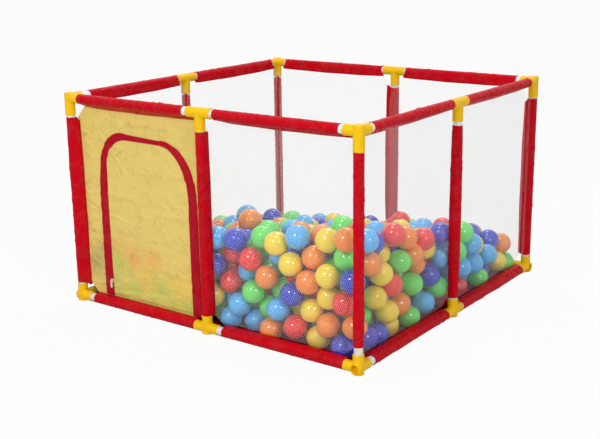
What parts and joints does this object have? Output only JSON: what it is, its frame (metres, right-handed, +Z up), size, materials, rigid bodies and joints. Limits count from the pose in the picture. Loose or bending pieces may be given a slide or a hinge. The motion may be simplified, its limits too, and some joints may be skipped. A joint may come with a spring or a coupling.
{
  "type": "ball pit",
  "caption": "Square ball pit of white tubes in yellow connectors, with red sleeves, white net walls, a zipped arched door and coloured balls heaped inside.",
  "frame": {"origin": "the middle of the floor, under the mat, at the height of the feet", "axes": "+Z up, the front with the door faces -Y, and the balls lie highest at the corner of +X and -Y"},
  "size_m": [1.069, 1.069, 0.6569],
  "materials": {
    "connector_plastic": "satin amber yellow with a faint pebble",
    "tube_plastic": "smooth white",
    "red_cloth": "red nylon with a soft sheen",
    "net_cloth": "white knitted net",
    "door_cloth": "thin mustard nylon",
    "tape_cloth": "crimson woven tape",
    "mat_cloth": "red nylon over thin padding",
    "zip_metal": "bright plated",
    "green_ball": "glossy",
    "orange_ball": "glossy",
    "yellow_ball": "glossy",
    "light_blue_ball": "glossy",
    "dark_blue_ball": "glossy",
    "red_ball": "glossy"
  },
  "bodies": {
    "frame": {"top_corner_front_left": "connector_plastic", "bottom_corner_front_left": "connector_plastic", "post_corner_front_left": "tube_plastic", "top_corner_front_right": "connector_plastic", "bottom_corner_front_right": "connector_plastic", "post_corner_front_right": "tube_plastic", "top_corner_back_right": "connector_plastic", "bottom_corner_back_right": "connector_plastic", "post_corner_back_right": "tube_plastic", "top_corner_back_left": "connector_plastic", "bottom_corner_back_left": "connector_plastic", "post_corner_back_left": "tube_plastic", "top_tee_front": "connector_plastic", "bottom_tee_front": "connector_plastic", "post_tee_front": "tube_plastic", "top_tee_right": "connector_plastic", "bottom_tee_right": "connector_plastic", "post_tee_right": "tube_plastic", "top_tee_back": "connector_plastic", "bottom_tee_back": "connector_plastic", "post_tee_back": "tube_plastic", "top_tee_left": "connector_plastic", "bottom_tee_left": "connector_plastic", "post_tee_left": "tube_plastic", "top_rail_front_1": "tube_plastic", "bottom_rail_front_1": "tube_plastic", "top_rail_front_2": "tube_plastic", "bottom_rail_front_2": "tube_plastic", "net_cover_front_2": "red_cloth", "top_rail_right_1": "tube_plastic", "bottom_rail_right_1": "tube_plastic", "net_cover_right_1": "red_cloth", "top_rail_right_2": "tube_plastic", "bottom_rail_right_2": "tube_plastic", "net_cover_right_2": "red_cloth", "top_rail_back_1": "tube_plastic", "bottom_rail_back_1": "tube_plastic", "net_cover_back_1": "red_cloth", "top_rail_back_2": "tube_plastic", "bottom_rail_back_2": "tube_plastic", "net_cover_back_2": "red_cloth", "top_rail_left_1": "tube_plastic", "bottom_rail_left_1": "tube_plastic", "net_cover_left_1": "red_cloth", "top_rail_left_2": "tube_plastic", "bottom_rail_left_2": "tube_plastic", "net_cover_left_2": "red_cloth", "door_cover": "red_cloth", "zip_tape": "tape_cloth", "floor_mat": "mat_cloth", "ball_heap": "light_blue_ball"},
    "door_flap": {"door_flap": "door_cloth"},
    "zip_slider": {"zip_slider": "zip_metal"},
    "zip_pull": {"zip_pull": "zip_metal"},
    "loose_ball_1": {"loose_ball_1": "green_ball"},
    "loose_ball_2": {"loose_ball_2": "orange_ball"},
    "loose_ball_3": {"loose_ball_3": "yellow_ball"},
    "loose_ball_4": {"loose_ball_4": "light_blue_ball"},
    "loose_ball_5": {"loose_ball_5": "dark_blue_ball"},
    "loose_ball_6": {"loose_ball_6": "red_ball"}
  },
  "joints": [
    {"name": "door_flap_fold", "type": "hinge", "parent": "frame", "child": "door_flap", "pos_m": [-0.2265, -0.5017, 0.0398], "axis": [1, 0, 0], "range_deg": [0, 90]},
    {"name": "zip_slide", "type": "slide", "parent": "frame", "child": "zip_slider", "axis": [0, 0, 1], "range_m": [0, 0.355]},
    {"name": "zip_pull_swing", "type": "hinge", "parent": "zip_slider", "child": "zip_pull", "pos_m": [-0.3933, -0.50975, 0.082], "axis": [-1, 0, 0], "range_deg": [0, 170]},
    {"name": "loose_ball_1_lift", "type": "slide", "parent": "frame", "child": "loose_ball_1", "axis": [0, 0, 1], "range_m": [0, 0.45]},
    {"name": "loose_ball_2_lift", "type": "slide", "parent": "frame", "child": "loose_ball_2", "axis": [0, 0, 1], "range_m": [0, 0.45]},
    {"name": "loose_ball_3_lift", "type": "slide", "parent": "frame", "child": "loose_ball_3", "axis": [0, 0, 1], "range_m": [0, 0.45]},
    {"name": "loose_ball_4_lift", "type": "slide", "parent": "frame", "child": "loose_ball_4", "axis": [0, 0, 1], "range_m": [0, 0.45]},
    {"name": "loose_ball_5_lift", "type": "slide", "parent": "frame", "child": "loose_ball_5", "axis": [0, 0, 1], "range_m": [0, 0.45]},
    {"name": "loose_ball_6_lift", "type": "slide", "parent": "frame", "child": "loose_ball_6", "axis": [0, 0, 1], "range_m": [0, 0.45]}
  ]
}
